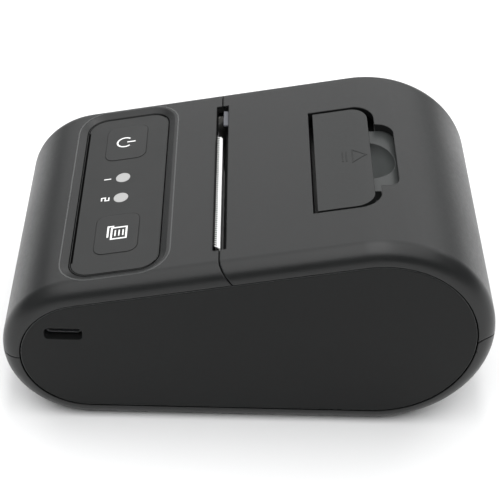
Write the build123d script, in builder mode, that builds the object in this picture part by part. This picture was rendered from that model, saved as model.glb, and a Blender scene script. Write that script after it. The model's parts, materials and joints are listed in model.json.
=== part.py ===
from build123d import *
import os
from math import acos, atan2, cos, degrees, hypot, pi, radians, sin, sqrt, tan

os.makedirs("parts", exist_ok=True)

# Portable thermal printer, in millimetres. X runs across the paper, +Y from the nose to the rear,
# +Z up. The origin is on the floor, under the middle of the body.

# Casing
length = 118.0
width = 75.0
nose_height = 42.0
rear_height = 56.0
edge_round = 4.4
wall = 2.0
cheek_in = 33.5
cheek_out = 35.5
part_gap = 0.25
front_seam = 20.0
rear_seam = 25.4

# Exit slot and the slanting seam beside it
slot_half = 29.5
slot_front = -9.0
slot_rear = -5.9
seam_top = (-7.8, 49.0)
seam_low = (-4.6, 45.3)
seam_gap = 0.4
nose_gap = 0.3

# Lid hinge
hinge_y = 57.0
hinge_z = 27.0
barrel_radius = 1.98
barrel_half = 33.0
knuckle_radius = 2.7
pin_radius = 0.75

# Control deck
deck_y = -32.35
panel_size = (63.2, 21.6)
panel_corner = 5.0
panel_drop = 0.8
panel_thick = 1.0
panel_gap = 0.25
bevel = 2.2
key_size = (14.4, 10.6)
key_corner = 2.4
key_gap = 0.15
key_proud = 0.1
key_flange = 0.7
power_x = -20.1
feed_x = 17.3
led_x = (-5.1, 3.1)
led_radius = 1.85
board_depth = 7.3
switch_depth = 4.3

# Opening lever
lever_half = 19.9
lever_front = 15.5
lever_rear = 29.0
lever_thick = 1.7
lever_corner = 4.5
lever_pivot_y = 18.2
lever_pivot_depth = 2.6
lever_pin_radius = 0.5
opening_half = 20.7
opening_front = 14.4
opening_rear = 30.6
opening_corner = 5.5
finger_half = 12.6
finger_rear = 34.9
finger_corner = 3.2
bowl_y = 28.3
bowl_radius = 8.3
bowl_depth = 6.7

# Platen, paper and gears
platen_y = -1.5
platen_z = 39.5
platen_radius = 5.0
platen_half = 28.3
shaft_radius = 1.5
running = 0.03
roll_y = 31.0
roll_z = 23.3
roll_radius = 19.0
core_radius = 6.5
core_wall = 1.2
paper_near = 28.5
paper_far = -15.5
web_thick = 0.2
web_gap = 0.35
web_knee = (-7.3, 48.3)
web_end = (-8.55, 49.1)
bar_skin = 0.75
bar_thick = 0.7
tray_z = 24.5
tray_radius = 20.5
module = 0.5
platen_teeth = 22
idler_teeth = 34
pinion_teeth = 12
gear_out = -33.2
gear_in = -31.7
idler_y = platen_y - 8.4
idler_z = platen_z - 11.2

# Power and electronics
usb_y = -43.8
usb_z = 28.3
board_top = 26.7
board_thick = 1.6
screw_front = (30.0, -36.0)
screw_rear = (24.0, -10.0)
thread_radius = 1.25
screw_head_radius = 2.2

# Worked out from the driving sizes
nose_radius = nose_height / 2
rear_radius = rear_height / 2
nose_y = nose_radius - length / 2
rear_y = length / 2 - rear_radius
slope = 2 * atan2(rear_radius - nose_radius, rear_y - nose_y)
slope_cos = cos(slope)
slope_sin = sin(slope)
motor_reach = module * (idler_teeth + pinion_teeth) / 2
motor_aside = 4.0
motor_y = idler_y + motor_aside
motor_z = idler_z - sqrt(motor_reach**2 - motor_aside**2)
slot_middle = (slot_front + slot_rear) / 2
slot_length = (slot_rear - slot_front) / slope_cos
panel_base = panel_drop + panel_thick


def top_height(y, depth=0.0):
    """Height of the sloping top at a place along Y, or of a surface below it by depth."""
    tangent_y = nose_y - nose_radius * slope_sin
    tangent_z = nose_radius + nose_radius * slope_cos
    return tangent_z + (y - tangent_y) * tan(slope) - depth / slope_cos


def top_plane(y, depth=0.0):
    """Plane lying on the sloping top, its x across the body and its y up the slope."""
    origin = (0, y + depth * slope_sin, top_height(y) - depth * slope_cos)
    return Plane(origin=origin, x_dir=(1, 0, 0), z_dir=(0, -slope_sin, slope_cos))


def slab(sketch, thick, mode):
    """Thicken a finished sketch along X into the part that is open."""
    extrude(sketch.sketch, amount=thick, dir=(1, 0, 0), mode=mode)


def outline_slab(inset, low, high, mode=Mode.ADD):
    """The body's side outline, pulled in by inset, as a slab between two places across the body."""
    top_angle = 90 + degrees(slope)
    with BuildSketch(Plane.YZ.offset(low)) as side:
        with BuildLine():
            Line((nose_y, inset), (rear_y, inset))
            rear = CenterArc((rear_y, rear_radius), rear_radius - inset, -90, 90 + top_angle)
            nose = CenterArc((nose_y, nose_radius), nose_radius - inset, top_angle, 270 - top_angle)
            Line(rear @ 1, nose @ 0)
        make_face()
    slab(side, high - low, mode)


def side_region(points, low, high, mode=Mode.ADD):
    """A prism across the body whose side view is the given polygon."""
    with BuildSketch(Plane.YZ.offset(low)) as side:
        with BuildLine():
            Polyline(*points, close=True)
        make_face()
    slab(side, high - low, mode)


def cross_rod(y, z, radius, low, high, mode=Mode.ADD):
    """A round rod or bore across the body."""
    with BuildSketch(Plane.YZ.offset(low)) as side:
        with Locations((y, z)):
            Circle(radius)
    slab(side, high - low, mode)


def upright(x, y, radius, low, high, mode=Mode.ADD):
    """A round post or hole that stands upright."""
    with BuildSketch(Plane.XY.offset(low)) as foot:
        with Locations((x, y)):
            Circle(radius)
    extrude(foot.sketch, amount=high - low, dir=(0, 0, 1), mode=mode)


def seam_line(shift):
    """Two points on the slanting seam, moved towards the rear by shift."""
    run = (seam_low[0] - seam_top[0]) / (seam_low[1] - seam_top[1])
    high = (seam_top[0] + run * (60 - seam_top[1]) + shift, 60)
    low = (seam_top[0] + run * (40 - seam_top[1]) + shift, 40)
    return high, low


def save(piece, name):
    """Label a finished piece and write it."""
    piece.part.label = name
    export_step(piece.part, f"parts/{name}.step")


# The full body with rounded sides, and the hollow casing that the three shells are cut from
with BuildPart() as body:
    outline_slab(0, -width / 2, width / 2)
    side_edges = body.edges().filter_by(lambda edge: abs(abs(edge.center().X) - width / 2) < 0.01)
    fillet(side_edges, radius=edge_round)

with BuildPart() as casing:
    add(body)
    outline_slab(wall, -cheek_in, cheek_in, Mode.SUBTRACT)
    outline_slab(edge_round, cheek_out, width / 2 + 1, Mode.SUBTRACT)
    outline_slab(edge_round, -width / 2 - 1, -cheek_out, Mode.SUBTRACT)

# Base: lower band, side cheeks, bosses, board pillars and the hinge lugs
base_top = ((-70, -5), (-70, front_seam), (-25, front_seam), (25, rear_seam), (70, rear_seam), (70, -5))
with BuildPart() as base_shell:
    add(casing)
    side_region(base_top, -40, 40, Mode.INTERSECT)
    for low in (-cheek_out, cheek_in):
        outline_slab(edge_round + part_gap, low, low + cheek_out - cheek_in)
    for side in (-1, 1):
        ends = sorted((side * (barrel_half + 0.3), side * width / 2))
        cross_rod(hinge_y, hinge_z, knuckle_radius, *ends)
        recess = sorted((side * cheek_out, side * (width / 2 + 1)))
        outline_slab(edge_round, *recess, Mode.SUBTRACT)
    for side in (-1, 1):
        upright(side * screw_front[0], screw_front[1], 3.6, 1.0, 8.0)
        upright(side * screw_rear[0], screw_rear[1], 3.6, 1.0, 4.0)
        upright(side * 24.4, -22.5, 1.7, 1.0, board_top - board_thick)
        upright(side * 28.4, -45.4, 1.7, 1.0, board_top - board_thick)
    add(body, mode=Mode.INTERSECT)
    for side in (-1, 1):
        for x, y in (screw_front, screw_rear):
            upright(side * x, y, thread_radius, -1, 9, Mode.SUBTRACT)
            upright(side * x, y, screw_head_radius + 0.2, -1, 2.2, Mode.SUBTRACT)
    cross_rod(hinge_y, hinge_z, barrel_radius + 0.3, -barrel_half - 0.3, barrel_half + 0.3, Mode.SUBTRACT)
    cross_rod(hinge_y, hinge_z, pin_radius, -35.2, 35.2, Mode.SUBTRACT)
    with BuildSketch(Plane.YZ.offset(cheek_in - 1)):
        with Locations((usb_y, usb_z)):
            RectangleRounded(9.5, 4.0, 1.3)
    extrude(amount=4, mode=Mode.SUBTRACT)
save(base_shell, "base_shell")

# Front shell: nose and control deck, down to the front seam and back to the slot
with BuildPart() as front_shell:
    add(casing)
    seam_high, seam_deep = seam_line(-seam_gap / 2)
    front_zone = (seam_high, seam_deep, (-4.0, 36), (-25, front_seam + nose_gap),
                  (-70, front_seam + nose_gap), (-70, 60))
    side_region(front_zone, -40, 40, Mode.INTERSECT)
    outline_slab(edge_round, -cheek_out - 1, -cheek_in, Mode.SUBTRACT)
    outline_slab(edge_round, cheek_in, cheek_out + 1, Mode.SUBTRACT)
    with BuildSketch(top_plane(deck_y, 3.2)):
        RectangleRounded(panel_size[0] + 3, panel_size[1] + 3, panel_corner + 1)
    extrude(amount=2.0)
    with Locations(top_plane(deck_y, 3.2)):
        with Locations(*[(x, y) for x in (-25, 25) for y in (-8.2, 8.2)]):
            Cylinder(1.6, 4.1, align=(Align.CENTER, Align.CENTER, Align.MAX))
    for side in (-1, 1):
        upright(side * screw_front[0], screw_front[1], 2.8, 8.0, top_height(screw_front[1], 1.0))
        upright(side * screw_front[0], screw_front[1], thread_radius, 7, 12, Mode.SUBTRACT)
    pocket = (panel_size[0] + 2 * panel_gap, panel_size[1] + 2 * panel_gap, panel_corner + panel_gap)
    with BuildSketch(top_plane(deck_y, panel_base)):
        RectangleRounded(*pocket)
    extrude(amount=panel_base + 1, mode=Mode.SUBTRACT)
    with BuildSketch(top_plane(deck_y, panel_drop)):
        RectangleRounded(*pocket)
    with BuildSketch(top_plane(deck_y, -0.1)):
        RectangleRounded(panel_size[0] + 2 * bevel, panel_size[1] + 2 * bevel, panel_corner + bevel)
    loft(mode=Mode.SUBTRACT)
    with BuildSketch(top_plane(deck_y)):
        with Locations((power_x, 0), (feed_x, 0)):
            RectangleRounded(key_size[0] + 2.2, key_size[1] + 2.2, key_corner)
        with Locations(*[(x, 0) for x in led_x]):
            Circle(1.7)
    extrude(amount=-5, mode=Mode.SUBTRACT)
    with BuildSketch(top_plane(slot_middle)):
        Rectangle(2 * slot_half, slot_length)
    extrude(amount=4, both=True, mode=Mode.SUBTRACT)
    with BuildSketch(top_plane(slot_front, 3.0)):
        with Locations((0, -0.8)):
            Rectangle(58.8, 3.2)
    extrude(amount=3.0 - bar_skin, mode=Mode.SUBTRACT)
save(front_shell, "front_shell")

# Lid: from the slot over the rear drum to the hinge barrel, with the hangers for the platen
with BuildPart() as paper_lid:
    add(casing)
    seam_high, seam_deep = seam_line(seam_gap / 2)
    lid_zone = (seam_high, seam_deep, (2, 30.5), (50, 28.2), (57, 27.0), (70, 27.0), (70, 60))
    side_region(lid_zone, -40, 40, Mode.INTERSECT)
    outline_slab(edge_round, -cheek_out - 1, -cheek_in, Mode.SUBTRACT)
    outline_slab(edge_round, cheek_in, cheek_out + 1, Mode.SUBTRACT)
    for side in (-1, 1):
        corner = sorted((side * (barrel_half + 0.15), side * 40))
        cross_rod(hinge_y, hinge_z, knuckle_radius + 0.3, *corner, mode=Mode.SUBTRACT)
    cross_rod(hinge_y, hinge_z, barrel_radius, -barrel_half, barrel_half)
    for side in (-1, 1):
        hanger = sorted((side * 28.7, side * 30.0))
        cross_rod(platen_y, platen_z, 4.2, *hanger)
        side_region(((-4.2, 39.5), (-3.6, 47.6), (9, 50.4), (2.7, 39.5)), *hanger)
        cross_rod(platen_y, platen_z, 2.5, *hanger, mode=Mode.SUBTRACT)
    for side in (-1, 1):
        bore = sorted((side * 26, side * (barrel_half + 1)))
        cross_rod(hinge_y, hinge_z, pin_radius + running, *bore, mode=Mode.SUBTRACT)
    with BuildSketch(top_plane(slot_middle)):
        Rectangle(2 * slot_half, slot_length)
    extrude(amount=4, both=True, mode=Mode.SUBTRACT)
    with BuildSketch(top_plane((opening_front + opening_rear) / 2)):
        with BuildLine():
            half = (opening_rear - opening_front) / 2 / slope_cos
            FilletPolyline((-opening_half, -half), (-opening_half, half), (opening_half, half),
                           (opening_half, -half), radius=opening_corner)
            Line((opening_half, -half), (-opening_half, -half))
        make_face()
        with Locations((0, half - 2)):
            finger_length = 2 * (finger_rear - opening_rear + 2) / slope_cos
            RectangleRounded(2 * finger_half, finger_length, finger_corner)
    extrude(amount=5, both=True, mode=Mode.SUBTRACT)
save(paper_lid, "paper_lid")

# Tray under the lever: deep round the lever, with a pad behind it and a bowl for the fingertip
well_half = 22.0
with BuildPart() as lever_well:
    outline_slab(wall + 0.05, -well_half, well_half)
    well_zone = ((12.9, 70), (12.9, 45.4), (25.0, 48.0), (34.0, 47.6), (37.4, 49.0), (37.4, 70))
    side_region(well_zone, -well_half, well_half, Mode.INTERSECT)
    with BuildSketch(top_plane(22.3, 5.2)):
        Rectangle(42.0, 16.5)
        with Locations((0, 4.9)):
            Rectangle(2 * finger_half - 0.4, 7.6, mode=Mode.SUBTRACT)
    extrude(amount=8, mode=Mode.SUBTRACT)
    with Locations(top_plane(bowl_y, bowl_depth - bowl_radius)):
        Sphere(bowl_radius, mode=Mode.SUBTRACT)
    lever_pivot = top_plane(lever_pivot_y, lever_pivot_depth).origin
    cross_rod(lever_pivot.Y, lever_pivot.Z, lever_pin_radius, -21.7, 21.7, Mode.SUBTRACT)
save(lever_well, "lever_well")

# Opening lever: a flap that follows the top, with two lugs on a thin pin
with BuildPart() as open_lever:
    outline_slab(0.1, -lever_half, lever_half)
    outline_slab(lever_thick, -lever_half - 1, lever_half + 1, Mode.SUBTRACT)
    with BuildSketch(top_plane((lever_front + lever_rear) / 2, 8.0)):
        with BuildLine():
            half = (lever_rear - lever_front) / 2 / slope_cos
            FilletPolyline((-lever_half, -half), (-lever_half, half), (lever_half, half),
                           (lever_half, -half), radius=lever_corner)
            Line((lever_half, -half), (-lever_half, -half))
        make_face()
    extrude(amount=12, mode=Mode.INTERSECT)
    for low in (-17.0, -2.5, 12.0):
        cross_rod(lever_pivot.Y, lever_pivot.Z, 1.3, low, low + 5.0)
    pin_bore = lever_pin_radius + running
    cross_rod(lever_pivot.Y, lever_pivot.Z, pin_bore, -lever_half, lever_half, Mode.SUBTRACT)
save(open_lever, "open_lever")

with BuildPart() as lever_pin:
    cross_rod(lever_pivot.Y, lever_pivot.Z, lever_pin_radius, -21.7, 21.7)
save(lever_pin, "lever_pin")

# Hinge pins, one at each end of the barrel
with BuildPart() as hinge_pins:
    cross_rod(hinge_y, hinge_z, pin_radius, -35.2, -26.2)
    cross_rod(hinge_y, hinge_z, pin_radius, 26.2, 35.2)
save(hinge_pins, "hinge_pins")


def side_plate(side):
    """Flat plate let into one side; the near one has the charging slot."""
    plate_in = cheek_out + 0.02
    low, high = sorted((side * plate_in, side * width / 2))
    with BuildPart() as plate:
        outline_slab(edge_round + part_gap, low, high)
        rim = plate.faces().sort_by(Axis.X)[-1 if side > 0 else 0].outer_wire()
        chamfer(rim.edges(), length=0.3)
        if side > 0:
            with BuildSketch(Plane.YZ.offset(cheek_out - 1)):
                with Locations((usb_y, usb_z)):
                    RectangleRounded(9.0, 3.5, 1.1)
            extrude(amount=4, mode=Mode.SUBTRACT)
    return plate


save(side_plate(1), "side_plate_right")
save(side_plate(-1), "side_plate_left")

# Control deck: overlay panel, two keys, two lamp lenses
with BuildPart() as control_panel:
    with BuildSketch(top_plane(deck_y, panel_base)):
        RectangleRounded(*panel_size, panel_corner)
        with Locations((power_x, 0), (feed_x, 0)):
            RectangleRounded(key_size[0] + 2 * key_gap, key_size[1] + 2 * key_gap, key_corner + key_gap,
                             mode=Mode.SUBTRACT)
        with Locations(*[(x, 0) for x in led_x]):
            Circle(led_radius + 0.05, mode=Mode.SUBTRACT)
    extrude(amount=panel_thick)
save(control_panel, "control_panel")


def key(x):
    """One push key: its cap in the panel, a flange below, and a stem down to its switch."""
    flange_base = panel_base + 0.75
    stem_end = switch_depth - 0.9
    with BuildPart() as cap:
        with BuildSketch(top_plane(deck_y, flange_base)):
            with Locations((x, 0)):
                RectangleRounded(*key_size, key_corner)
        extrude(amount=flange_base - panel_drop + key_proud)
        with BuildSketch(top_plane(deck_y, flange_base)):
            with Locations((x, 0)):
                RectangleRounded(key_size[0] + 2 * key_flange, key_size[1] + 2 * key_flange, key_corner)
        extrude(amount=0.6)
        with BuildSketch(top_plane(deck_y, stem_end)):
            with Locations((x, 0)):
                Circle(1.6)
        extrude(amount=stem_end - flange_base + 0.2)
    return cap


save(key(power_x), "power_button")
save(key(feed_x), "feed_button")

with BuildPart() as led_lenses:
    for x in led_x:
        with BuildSketch(top_plane(deck_y, panel_base)):
            with Locations((x, 0)):
                Circle(led_radius)
        extrude(amount=panel_thick)
        with BuildSketch(top_plane(deck_y, board_depth - 0.9)):
            with Locations((x, 0)):
                Circle(1.5)
        extrude(amount=board_depth - 0.9 - panel_base)
save(led_lenses, "led_lenses")

key_board_thick = 1.2
with BuildPart() as key_board:
    with BuildSketch(top_plane(deck_y, board_depth + key_board_thick)):
        RectangleRounded(53.6, 20, 1.0)
    extrude(amount=key_board_thick)
save(key_board, "key_board")

with BuildPart() as key_switches:
    for x in (power_x, feed_x):
        with BuildSketch(top_plane(deck_y, board_depth)):
            with Locations((x, 0)):
                Rectangle(6.2, 6.2)
        extrude(amount=board_depth - switch_depth)
        with BuildSketch(top_plane(deck_y, switch_depth)):
            with Locations((x, 0)):
                Circle(1.7)
        extrude(amount=0.4)
save(key_switches, "key_switches")

# Toothed strip set under the front lip of the slot, its tips standing just past the lip
tooth_pitch = 1.0
tooth_count = 58
tooth_root = -0.35
tooth_tip = 0.35
with BuildPart() as tear_bar:
    with BuildSketch(top_plane(slot_front, bar_skin + bar_thick)):
        with BuildLine():
            first = -tooth_count * tooth_pitch / 2
            teeth = [(-29.3, -2.2)]
            for number in range(tooth_count):
                teeth.append((first + number * tooth_pitch, tooth_root))
                teeth.append((first + (number + 0.5) * tooth_pitch, tooth_tip))
            teeth += [(-first, tooth_root), (29.3, -2.2)]
            Polyline(*teeth, close=True)
        make_face()
    extrude(amount=bar_thick)
save(tear_bar, "tear_bar")

# Platen: rubber roller on a steel shaft, in two bushes, with its gear at the far end
with BuildPart() as platen_roller:
    cross_rod(platen_y, platen_z, platen_radius, -platen_half, platen_half)
    chamfer(platen_roller.edges().filter_by(GeomType.CIRCLE), length=0.3)
    cross_rod(platen_y, platen_z, shaft_radius, -platen_half, platen_half, Mode.SUBTRACT)
save(platen_roller, "platen_roller")

with BuildPart() as platen_shaft:
    cross_rod(platen_y, platen_z, shaft_radius, gear_out, 30.1)
    chamfer(platen_shaft.edges().filter_by(GeomType.CIRCLE), length=0.3)
save(platen_shaft, "platen_shaft")

with BuildPart() as platen_bushes:
    for side in (-1, 1):
        ends = sorted((side * 28.7, side * 30.0))
        cross_rod(platen_y, platen_z, 2.5, *ends)
        cross_rod(platen_y, platen_z, shaft_radius + running, *ends, mode=Mode.SUBTRACT)
save(platen_bushes, "platen_bushes")


def tooth_angle(radius, pitch_radius, half_angle, pressure=radians(20)):
    """Half angle of an involute tooth at a radius, from its half angle on the pitch circle."""
    base = pitch_radius * cos(pressure)
    flank = acos(min(1.0, base / max(radius, base)))
    return half_angle + (tan(pressure) - pressure) - (tan(flank) - flank)


def gear(teeth, y, z, phase, bore):
    """Spur gear across the body, one of its teeth pointing at the phase angle in the side view."""
    pitch_radius = module * teeth / 2
    half_angle = pi / 2 / teeth - 0.035 / pitch_radius
    tip = pitch_radius + 0.85 * module
    root = pitch_radius - 1.15 * module
    points = []
    for number in range(teeth):
        middle = phase + 2 * pi * number / teeth
        flanks = [(root, 1), (pitch_radius, 1), (tip, 1), (tip, -1), (pitch_radius, -1), (root, -1)]
        for radius, side in flanks:
            angle = middle - side * tooth_angle(radius, pitch_radius, half_angle)
            points.append((y + radius * cos(angle), z + radius * sin(angle)))
    with BuildPart() as wheel:
        side_region(points, gear_out, gear_in)
        cross_rod(y, z, bore, gear_out - 1, gear_in + 1, Mode.SUBTRACT)
    return wheel


platen_phase = atan2(idler_z - platen_z, idler_y - platen_y)
idler_phase = platen_phase + pi + pi / idler_teeth
pinion_side = atan2(motor_z - idler_z, motor_y - idler_y)
idler_offset = (pinion_side - idler_phase) % (2 * pi / idler_teeth)
pinion_phase = pinion_side + pi + idler_offset * idler_teeth / pinion_teeth + pi / pinion_teeth
save(gear(platen_teeth, platen_y, platen_z, platen_phase, shaft_radius), "platen_gear")
save(gear(idler_teeth, idler_y, idler_z, idler_phase, shaft_radius + running), "idler_gear")
save(gear(pinion_teeth, motor_y, motor_z, pinion_phase, pin_radius), "motor_pinion")

# Mechanism frame: two cheeks joined by a floor, notched for the platen shaft
frame_in = 30.5
frame_out = 31.3
frame_side = ((-15, 3.2), (-15, 43.3), (-4.6, 45.4), (-4.6, 35.6), (2.0, 35.6), (2.0, 41.0), (5.0, 41.0),
              (7.0, 30.0), (7.0, 3.2))
with BuildPart() as mech_frame:
    for side in (-1, 1):
        ends = sorted((side * frame_in, side * frame_out))
        side_region(frame_side, *ends)
        cross_rod(platen_y, platen_z, shaft_radius + 0.4, *ends, mode=Mode.SUBTRACT)
        side_region(((-3.4, 39.5), (-3.4, 50), (8.0, 50), (1.0, 39.5)), *ends, mode=Mode.SUBTRACT)
    side_region(((-15, 4.0), (-15, 5.0), (7.0, 5.0), (7.0, 4.0)), -frame_in, frame_in)
    side_region(((-14.6, 26.0), (-14.6, 40.0), (-13.8, 40.0), (-13.8, 26.0)), -frame_in, frame_in)
    for side in (-1, 1):
        upright(side * screw_rear[0], screw_rear[1], thread_radius, 3, 6, Mode.SUBTRACT)
    cross_rod(motor_y, motor_z, 1.6, -frame_out, -frame_in, Mode.SUBTRACT)
save(mech_frame, "mech_frame")

with BuildPart() as idler_post:
    cross_rod(idler_y, idler_z, shaft_radius, gear_out, -frame_out)
save(idler_post, "idler_post")

# Stepper motor on the far cheek
with BuildPart() as feed_motor:
    cross_rod(motor_y, motor_z, 7.4, -frame_in, -14.5)
    chamfer(feed_motor.edges().filter_by(GeomType.CIRCLE), length=0.5)
    cross_rod(motor_y, motor_z, 1.5, -frame_out, -frame_in)
    cross_rod(motor_y, motor_z, pin_radius + running, -frame_out - 1, -18.0, Mode.SUBTRACT)
save(feed_motor, "feed_motor")

with BuildPart() as motor_shaft:
    cross_rod(motor_y, motor_z, pin_radius, gear_out, -18.3)
save(motor_shaft, "motor_shaft")

# Thermal head: a ceramic strip on an aluminium carrier, pressed by two springs
head_face = -7.5
with BuildPart() as print_head:
    with Locations((0, head_face - 0.4, 35.5)):
        Box(54, 0.8, 10.2)
save(print_head, "print_head")

with BuildPart() as head_carrier:
    with Locations((0, head_face - 2.0, 34.0)):
        Box(58, 2.4, 13.4)
    with Locations((0, head_face - 2.6, 27.6)):
        Box(58, 3.6, 1.4)
save(head_carrier, "head_carrier")

with BuildPart() as head_springs:
    for x in (-18.0, 18.0):
        with BuildSketch(Plane.XZ.offset(10.9)):
            with Locations((x, 36.0)):
                Circle(2.2)
                Circle(1.6, mode=Mode.SUBTRACT)
        extrude(amount=2.9)
save(head_springs, "head_springs")


def tangent_point(center, radius, angle):
    """The point at an angle on a circle in the side view."""
    return (center[0] + radius * cos(angle), center[1] + radius * sin(angle))


# Label web: off the top of the roll, under the platen, then up to its torn edge, which lies over
# towards the toothed strip
platen_center = (platen_y, platen_z)
roll_center = (roll_y, roll_z)
near_radius = platen_radius + web_gap
over_radius = roll_radius + web_gap + web_thick
reach = hypot(roll_y - platen_y, roll_z - platen_z)
across = atan2(roll_z - platen_z, roll_y - platen_y)
touch = across - acos((near_radius + over_radius) / reach)
knee_reach = hypot(web_knee[0] - platen_y, web_knee[1] - platen_z)
leave = atan2(web_knee[1] - platen_z, web_knee[0] - platen_y) + acos(near_radius / knee_reach) - 2 * pi
turn = degrees(leave - touch)
lean = atan2(web_end[1] - web_knee[1], web_end[0] - web_knee[0]) + pi / 2
knee_offset = web_thick / cos((lean - leave - 2 * pi) / 2)
knee_turn = (lean + leave) / 2 + pi
with BuildPart() as paper_web:
    with BuildSketch(Plane.YZ.offset(paper_far)):
        with BuildLine():
            inner = CenterArc(platen_center, near_radius, degrees(touch), turn)
            outer = CenterArc(platen_center, near_radius + web_thick, degrees(touch), turn)
            roll_touch = tangent_point(roll_center, over_radius, touch + pi)
            roll_under = tangent_point(roll_center, over_radius - web_thick, touch + pi)
            end_far = tangent_point(web_end, web_thick, lean)
            knee_far = tangent_point(web_knee, knee_offset, knee_turn)
            Line(roll_touch, inner @ 0)
            Polyline(inner @ 1, web_knee, web_end, end_far, knee_far, outer @ 1)
            Line(outer @ 0, roll_under)
            Line(roll_under, roll_touch)
        make_face()
    extrude(amount=paper_near - paper_far)
save(paper_web, "paper_web")

# Label roll on its cardboard core, lying in the tray beside a divider
with BuildPart() as label_roll:
    cross_rod(roll_y, roll_z, roll_radius, paper_far, paper_near)
    cross_rod(roll_y, roll_z, core_radius, paper_far, paper_near, Mode.SUBTRACT)
save(label_roll, "label_roll")

with BuildPart() as roll_core:
    cross_rod(roll_y, roll_z, core_radius, paper_far, paper_near)
    cross_rod(roll_y, roll_z, core_radius - core_wall, paper_far, paper_near, Mode.SUBTRACT)
save(roll_core, "roll_core")

with BuildPart() as paper_tray:
    cross_rod(roll_y, tray_z, tray_radius + 1.5, -32.0, 32.0)
    cross_rod(roll_y, tray_z, tray_radius, -33.0, 33.0, Mode.SUBTRACT)
    side_region(((-40, 28.0), (-40, 80), (80, 80), (80, 28.0)), -33.0, 33.0, Mode.SUBTRACT)
    for low in (-32.0, 30.8):
        cross_rod(roll_y, tray_z, tray_radius + 0.5, low, low + 1.2)
    side_region(((0, 28.0), (0, 80), (80, 80), (80, 28.0)), -33.0, 33.0, Mode.SUBTRACT)
save(paper_tray, "paper_tray")

with BuildPart() as roll_divider:
    cross_rod(roll_y, tray_z, tray_radius - 0.02, paper_far - 1.6, paper_far - 0.6)
    side_region(((0, 33.0), (0, 80), (80, 80), (80, 33.0)), -33.0, 33.0, Mode.SUBTRACT)
save(roll_divider, "roll_divider")

# Power and electronics in the nose
with BuildPart() as main_board:
    with BuildSketch(Plane.XY.offset(board_top - board_thick)):
        with BuildLine():
            Polyline((-32.5, -54), (32.5, -54), (32.5, -39.6), (26.8, -39.6), (26.8, -20.6),
                     (-26.8, -20.6), (-26.8, -39.6), (-32.5, -39.6), close=True)
        make_face()
    extrude(amount=board_thick)
save(main_board, "main_board")

usb_deep = 27.9
usb_mouth = 35.2
with BuildPart() as usb_socket:
    with BuildSketch(Plane.YZ.offset(usb_deep)):
        with Locations((usb_y, usb_z)):
            RectangleRounded(8.9, 3.16, 1.5)
    extrude(amount=usb_mouth - usb_deep)
    with BuildSketch(Plane.YZ.offset(usb_deep + 0.6)):
        with Locations((usb_y, usb_z)):
            RectangleRounded(8.3, 2.56, 1.25)
    extrude(amount=8, mode=Mode.SUBTRACT)
    with BuildSketch(Plane.YZ.offset(usb_deep)):
        with Locations((usb_y, usb_z)):
            Rectangle(6.7, 0.7)
    extrude(amount=6.3)
save(usb_socket, "usb_socket")

with BuildPart() as battery_pack:
    with BuildSketch(Plane.XY.offset(wall)):
        with Locations((0, -28.0)):
            Rectangle(44, 24)
    extrude(amount=17)
    chamfer(battery_pack.edges(), length=1.5)
save(battery_pack, "battery_pack")

with BuildPart() as case_screws:
    for side in (-1, 1):
        for place, end in ((screw_front, 12.0), (screw_rear, 7.0)):
            x, y = side * place[0], place[1]
            upright(x, y, screw_head_radius, 0.7, 2.2)
            upright(x, y, thread_radius, 2.2, end)
            with BuildSketch(Plane.XY.offset(0.7)):
                with Locations((x, y)):
                    Rectangle(2.4, 0.5)
                    Rectangle(0.5, 2.4)
            extrude(amount=0.7, dir=(0, 0, 1), mode=Mode.SUBTRACT)
save(case_screws, "case_screws")
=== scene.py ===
"""Portable thermal printer: finishes, printed marks, camera and soft studio light."""
import json
import math

import bmesh
import bpy
from bpy.props import FloatProperty, FloatVectorProperty, PointerProperty
from mathutils import Matrix, Vector
from mathutils.bvhtree import BVHTree


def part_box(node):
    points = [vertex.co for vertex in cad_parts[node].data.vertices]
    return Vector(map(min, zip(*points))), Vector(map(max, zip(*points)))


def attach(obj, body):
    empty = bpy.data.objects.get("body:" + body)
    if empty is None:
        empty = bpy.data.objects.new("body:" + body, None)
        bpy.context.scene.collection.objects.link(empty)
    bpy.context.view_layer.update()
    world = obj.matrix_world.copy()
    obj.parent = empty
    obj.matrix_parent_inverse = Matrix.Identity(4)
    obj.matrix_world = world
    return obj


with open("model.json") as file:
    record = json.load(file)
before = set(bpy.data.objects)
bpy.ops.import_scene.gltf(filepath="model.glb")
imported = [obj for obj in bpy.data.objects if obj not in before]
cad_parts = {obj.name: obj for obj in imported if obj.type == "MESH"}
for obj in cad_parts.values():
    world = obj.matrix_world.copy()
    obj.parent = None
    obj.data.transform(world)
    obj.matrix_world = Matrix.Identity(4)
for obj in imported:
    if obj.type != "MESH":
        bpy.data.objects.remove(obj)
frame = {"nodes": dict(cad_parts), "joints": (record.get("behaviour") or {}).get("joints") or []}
NODES = frame["nodes"]

bl_info = {
    "name": "Portable thermal printer",
    "version": (1, 0, 0),
    "blender": (4, 5, 0),
    "location": "View3D > Sidebar > Printer",
    "description": "Finishes, marks and stage of a portable thermal printer",
    "category": "Object",
}

MM = 0.001

# How deep a mark is rooted in its surface, and the length of the steps in which it follows it
SUNK = 0.05 * MM
MARK_STEP = 0.35 * MM

# The two circles of the side outline, as Y and Z, and how far the side plates lie inside it
NOSE_CENTRE = Vector((-38.0, 21.0)) * MM
NOSE_RADIUS = 21.0 * MM
REAR_CENTRE = Vector((31.0, 28.0)) * MM
REAR_RADIUS = 28.0 * MM
PLATE_INSET = 4.65 * MM

# Painted highlight bead and a ring of painted shade in the groove round each side plate: radius, depth below
# its face, and distance inside its edge
BEAD_RADIUS = 0.13 * MM
BEAD_DEEP = 0.23 * MM
BEAD_INSIDE = 0.2 * MM
GROOVE_SHADE_RADIUS = 0.2 * MM
GROOVE_SHADE_DEEP = 0.41 * MM
GROOVE_SHADE_INSIDE = -0.12 * MM

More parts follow.
